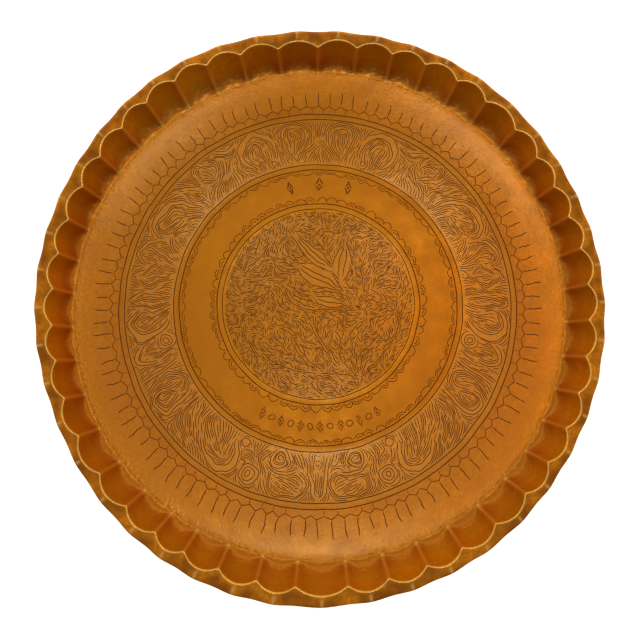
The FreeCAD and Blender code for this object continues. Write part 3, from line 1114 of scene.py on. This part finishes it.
ridge_line = 0.9          # half width of the painted highlight on a ridge
crest_line = 0.7          # and on a pleat's crest
highlight_dimming = 0.3             # how much dimmer the painted highlights on edges and ridges are towards -Y
fold_wear = np.array([0.1, 0.5, 1.0, 1.0, 0.8, 0.3, 0.1])   # row by row over the arch's fold


def wear_and_highlight_places(grid, columns, top_rows):
    """How much wear and painted highlight the edges, crests and foot have, and how bright the painted
    highlight on a ridge is, 0 to 1, at each point of the rim's grid.
    """
    way_up = np.linspace(0.0, 1.0, wall_rows)[:, None]
    wear, ridge = np.zeros(grid.shape[:2]), np.zeros(grid.shape[:2])
    # along the arch's fold: partly wear, partly painted highlight
    wear[wall_rows - 1:wall_rows + 6] = fold_wear[:, None]
    # painted glints at the foot
    wear[:wall_rows] = np.maximum(wear[:wall_rows], foot_glints(grid[:wall_rows]))
    # painted highlight along each ridge, fading out towards the foot
    on_ridge = np.exp(-(columns.from_ridge / ridge_line) ** 2)[None, :]
    ridge[:wall_rows] = on_ridge * np.clip(5.0 * way_up, 0.0, 1.0)
    # painted light: the highlights fade towards -Y, where less light falls
    highlight_level = 1.0 - highlight_dimming * (0.5 - 0.5 * np.cos(np.radians(columns.bearing)))[None, :]
    wear *= highlight_level
    ridge *= highlight_level
    # along each pleat's crest: partly wear, partly painted highlight
    on_crest = np.exp(-((0.5 - columns.share) * columns.width / crest_line) ** 2)[None, :]
    flat_rows = slice(wall_rows + 6, top_rows + 1)
    wear[flat_rows] = np.maximum(wear[flat_rows], on_crest)
    return wear, ridge


def build_rim():
    """The meshes of the wall and of the flange. They meet in the middle of the arch's bend."""
    columns = Columns()
    upper, cut = rim_sections(columns)
    lower = under_face(upper, columns)
    tip = (upper[-1] + lower[-1]) / 2.0 + np.array([0.2, 0.0])
    grid = in_space(np.concatenate([upper, tip[None], lower[::-1]]), columns)
    top_rows, total = len(upper), len(grid)
    grid[:top_rows, :, 2] += planishing(grid[:top_rows, :, 0], grid[:top_rows, :, 1])
    normals = grid_normals(grid)
    normals[0] = ground_normals(grid[0, :, 0], grid[0, :, 1])
    wear_and_highlight_maps = wear_and_highlight_places(grid, columns, top_rows)
    in_wall = list(range(cut + 1)) + list(range(total - 1 - cut, total))
    in_flange = list(range(cut, total - cut))
    wall = rim_piece("wall_of_flutes", grid, normals, in_wall, *wear_and_highlight_maps)
    flange = rim_piece("pleated_flange", grid, normals, in_flange, *wear_and_highlight_maps)
    return wall, flange, grid[0, :, :2]


# ======== materials ========

# The brass's colour in each place
# painted shade: a darker, redder brass in the crease at the wall's foot, which also blends the margin
# into the wall
foot_shade_tone = (0.54, 0.168, 0.005)
plain_tone = (0.57, 0.186, 0.016)
chased_tone = (0.70, 0.242, 0.016)
fine_chased_tone = (0.53, 0.178, 0.015)
patina_tone = (0.07, 0.018, 0.012)
# bright edges, crests and foot glints: partly wear, partly painted highlight
highlight_and_wear_tone = (1.0, 0.56, 0.16)
# painted highlight on the wall's ridges
ridge_highlight_tone = (1.0, 0.64, 0.12)
range_sockets = ("From Min", "From Max", "To Min", "To Max")


def brass(name, light, dark, roughness, coat, speckle=0.28, patch_scale=18.0, hatched=chased_tone):
    """Satin brass: patchy tone, painted shade at the foot, dark patina in the grooves, bright edges that
    are partly wear and partly painted highlight, a painted highlight on the ridges, hammer marks.
    """
    material = bpy.data.materials.new(name)
    material.use_nodes = True
    nodes, links = material.node_tree.nodes, material.node_tree.links
    shader = nodes["Principled BSDF"]
    for socket, value in (("Metallic", 1.0), ("Coat IOR", 1.6), ("Coat Roughness", 0.18)):
        shader.inputs[socket].default_value = value

    def node(kind, **settings):
        made = nodes.new(kind)
        for key, value in settings.items():
            if key in made.inputs:
                made.inputs[key].default_value = value
            else:
                setattr(made, key, value)
        return made

    def noise(scale, detail):
        made = node("ShaderNodeTexNoise", Scale=scale, Detail=detail)
        links.new(place.outputs["Object"], made.inputs["Vector"])
        return made.outputs["Fac"]

    def fit(value, low, high, to_low=0.0, to_high=1.0):
        made = node("ShaderNodeMapRange")
        for socket, number in zip(range_sockets, (low, high, to_low, to_high)):
            made.inputs[socket].default_value = number
        links.new(value, made.inputs["Value"])
        return made.outputs["Result"]

    def mix(share, a, b):
        made = node("ShaderNodeMix", data_type="RGBA")
        links.new(share, made.inputs["Factor"])
        for socket, value in (("A", a), ("B", b)):
            target = [s for s in made.inputs if s.name == socket and s.type == "RGBA"][0]
            if isinstance(value, tuple):
                target.default_value = (*value, 1.0)
            else:
                links.new(value, target)
        return [s for s in made.outputs if s.type == "RGBA"][0]

    def calc(operation, a, b):
        made = node("ShaderNodeMath", operation=operation)
        for k, value in enumerate((a, b)):
            if isinstance(value, (int, float)):
                made.inputs[k].default_value = value
            else:
                links.new(value, made.inputs[k])
        return made.outputs["Value"]

    def times(a, b):
        return calc("MULTIPLY", a, b)

    def attribute(attribute_name):
        return node("ShaderNodeAttribute", attribute_name=attribute_name).outputs["Fac"]

    place = node("ShaderNodeTexCoord")
    haze, foot, wear = attribute("haze"), attribute("foot"), attribute("wear")
    patina = fit(attribute("groove"), 0.1, 0.5)
    tone = mix(fit(noise(patch_scale, 4.0), 0.36, 0.64), dark, light)
    mottle = fit(noise(480.0, 3.0), 0.34, 0.66)
    for share, colour in ((times(mottle, speckle), tuple(0.8 * c for c in dark)),
                          (calc("SUBTRACT", 1.0, haze), plain_tone),
                          (foot, foot_shade_tone),
                          (attribute("chased"), hatched),
                          (patina, patina_tone),
                          # bright edges, crests and glints: partly wear, partly painted highlight; then
                          # the painted highlight on the ridges
                          (times(wear, 0.9), highlight_and_wear_tone),
                          (times(attribute("ridge"), 0.85), ridge_highlight_tone)):
        tone = mix(share, tone, colour)
    links.new(tone, shader.inputs["Base Color"])

    rough = fit(noise(90.0, 5.0), 0.3, 0.7, roughness - 0.05, roughness + 0.07)
    rough = calc("ADD", rough, times(patina, 0.25))
    links.new(calc("SUBTRACT", rough, times(wear, 0.08)), shader.inputs["Roughness"])
    open_metal = calc("SUBTRACT", 1.0, times(patina, 0.8))
    links.new(times(times(haze, open_metal), coat), shader.inputs["Coat Weight"])

    grain_and_dents = calc("ADD", noise(1100.0, 2.0), noise(330.0, 2.0))
    height = calc("ADD", grain_and_dents, times(times(noise(520.0, 1.0), foot), 5.0))
    bump = node("ShaderNodeBump", Strength=0.45, Distance=0.00012)
    links.new(height, bump.inputs["Height"])
    for socket in ("Normal", "Coat Normal"):
        links.new(bump.outputs["Normal"], shader.inputs[socket])
    return material


# ======== assembly ========

def add_object(name, data):
    made = bpy.data.objects.new(name, data)
    bpy.context.scene.collection.objects.link(made)
    return made


def place_piece(mesh, material, node):
    piece = add_object(mesh.name, mesh)
    mesh.materials.append(material)
    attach(piece, "root")
    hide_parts(node)


def build_tray():
    wall, flange, foot_circle = build_rim()
    chased_colours = (0.70, 0.245, 0.004), (0.60, 0.20, 0.003)
    chased = brass("chased_brass", *chased_colours, roughness=0.40, coat=0.7)
    fine_chased = brass("fine_chased_brass", *chased_colours, roughness=0.40, coat=0.25,
                        hatched=fine_chased_tone)
    margin_brass = brass("margin_brass", (0.71, 0.220, 0.003), (0.61, 0.184, 0.002),
                         roughness=0.38, coat=0.55, speckle=0.5)
    wall_brass = brass("wall_brass", (0.88, 0.455, 0.008), (0.68, 0.33, 0.005),
                       roughness=0.38, coat=0.15, speckle=0.4)
    flange_brass = brass("flange_brass", (1.0, 0.35, 0.008), (0.44, 0.13, 0.004),
                         roughness=0.32, coat=0.2, speckle=0.6, patch_scale=120.0)
    rim_a, rim_b, rim_c = [polar(360.0 * np.arange(count) / count, radius) for radius, count
                           in ((medallion_r, 400), (plain_band_r, 560), (floor_r, 720))]
    medallion = chased_sheet("chased_medallion", draw_medallion(), None, rim_a, filler=5.0)
    plain = chased_sheet("plain_band", draw_plain_band(), rim_a, rim_b, filler=3.5)
    scrolls = chased_sheet("chased_scroll_band", draw_scroll_band(), rim_b, rim_c, filler=5.0)
    margin = chased_sheet("dished_margin", draw_margin(), rim_c, foot_circle, filler=3.0,
                          planished=planished_r)
    for mesh, metal in ((medallion, fine_chased), (plain, chased), (scrolls, chased)):
        place_piece(mesh, metal, "floor")
    place_piece(margin, margin_brass, "floor_rise")
    place_piece(wall, wall_brass, "fluted_wall")
    place_piece(flange, flange_brass, "crimped_flange")


def build_stage():
    """A plain pale floor under the tray, softly lit from within like a light table."""
    half, below = 1.6, -0.0004
    mesh = bpy.data.meshes.new("stage_floor")
    corners = [(-half, -half, below), (half, -half, below), (half, half, below), (-half, half, below)]
    mesh.from_pydata(corners, [], [(0, 1, 2, 3)])
    material = bpy.data.materials.new("pale_floor")
    material.use_nodes = True
    shader = material.node_tree.nodes["Principled BSDF"]
    for socket, value in (("Base Color", (0.93, 0.93, 0.93, 1.0)),
                          ("Roughness", 0.9),
                          ("Specular IOR Level", 0.1),
                          ("Emission Color", (1.0, 1.0, 1.0, 1.0)),
                          ("Emission Strength", 0.75)):
        shader.inputs[socket].default_value = value
    mesh.materials.append(material)
    stage = add_object("stage_floor", mesh)


def add_light(name, bearing, tilt, size, power, colour):
    """A round soft light, aimed at the tray from a bearing and a tilt from the vertical."""
    distance = 1.5
    data = bpy.data.lights.new(name, "AREA")
    data.shape = "DISK"
    data.size = size
    data.energy = power
    data.color = colour
    light = add_object(name, data)
    lean = math.radians(tilt)
    x, y = polar(bearing, distance * math.sin(lean))
    light.location = (x, y, distance * math.cos(lean))
    light.rotation_euler = Vector(light.location).to_track_quat("Z", "Y").to_euler()


def build_lights():
    """A soft surround, darker low down, and weak lights whose sheen falls on the tray."""
    world = bpy.data.worlds.new("studio")
    bpy.context.scene.world = world
    world.use_nodes = True
    nodes, links = world.node_tree.nodes, world.node_tree.links
    place = nodes.new("ShaderNodeTexCoord")
    split = nodes.new("ShaderNodeSeparateXYZ")
    links.new(place.outputs["Generated"], split.inputs["Vector"])

    def level(axis, *settings):
        """A value that eases from one level to another along an axis of the surround."""
        made = nodes.new("ShaderNodeMapRange")
        made.interpolation_type = "SMOOTHSTEP"
        for socket, number in zip(range_sockets, settings):
            made.inputs[socket].default_value = number
        links.new(split.outputs[axis], made.inputs["Value"])
        return made

    low = level("Y", -1.0, 1.0, 0.18, 1.1)
    high = level("Y", 0.02, 0.34, 0.51, 0.29)
    whole = level("Z", 0.25, 0.85)
    background = nodes["Background"]
    links.new(low.outputs["Result"], whole.inputs["To Min"])
    links.new(high.outputs["Result"], whole.inputs["To Max"])
    links.new(whole.outputs["Result"], background.inputs["Strength"])
    background.inputs["Color"].default_value = (1.0, 0.90, 0.68, 1.0)
    sheen, glow = (0.80, 1.0, 0.66), (1.0, 0.42, 0.02)
    add_light("north_east_light", bearing=31.0, tilt=18.7, size=0.26, power=0.84, colour=sheen)
    add_light("north_west_light", bearing=329.0, tilt=18.7, size=0.26, power=0.73, colour=sheen)
    add_light("south_light", bearing=180.0, tilt=7.6, size=0.24, power=0.9, colour=sheen)
    add_light("east_light", bearing=63.0, tilt=15.3, size=0.22, power=0.55, colour=glow)


def build_camera():
    """Almost straight down from over the tray, a little from its -Y side."""
    distance, tilt = 0.3125, math.radians(6.87)
    data = bpy.data.cameras.new("camera")
    data.sensor_width = 36.0
    data.lens = 29.25
    data.shift_x = 0.0014
    data.shift_y = -0.026
    camera = add_object("camera", data)
    camera.location = (0.0, -distance * math.sin(tilt), distance * math.cos(tilt))
    camera.rotation_euler = (tilt, 0.0, 0.0)
    bpy.context.scene.camera = camera


build_tray()
build_stage()
build_lights()
build_camera()
bpy.context.scene.view_settings.view_transform = "Standard"

bpy.context.view_layer.update()
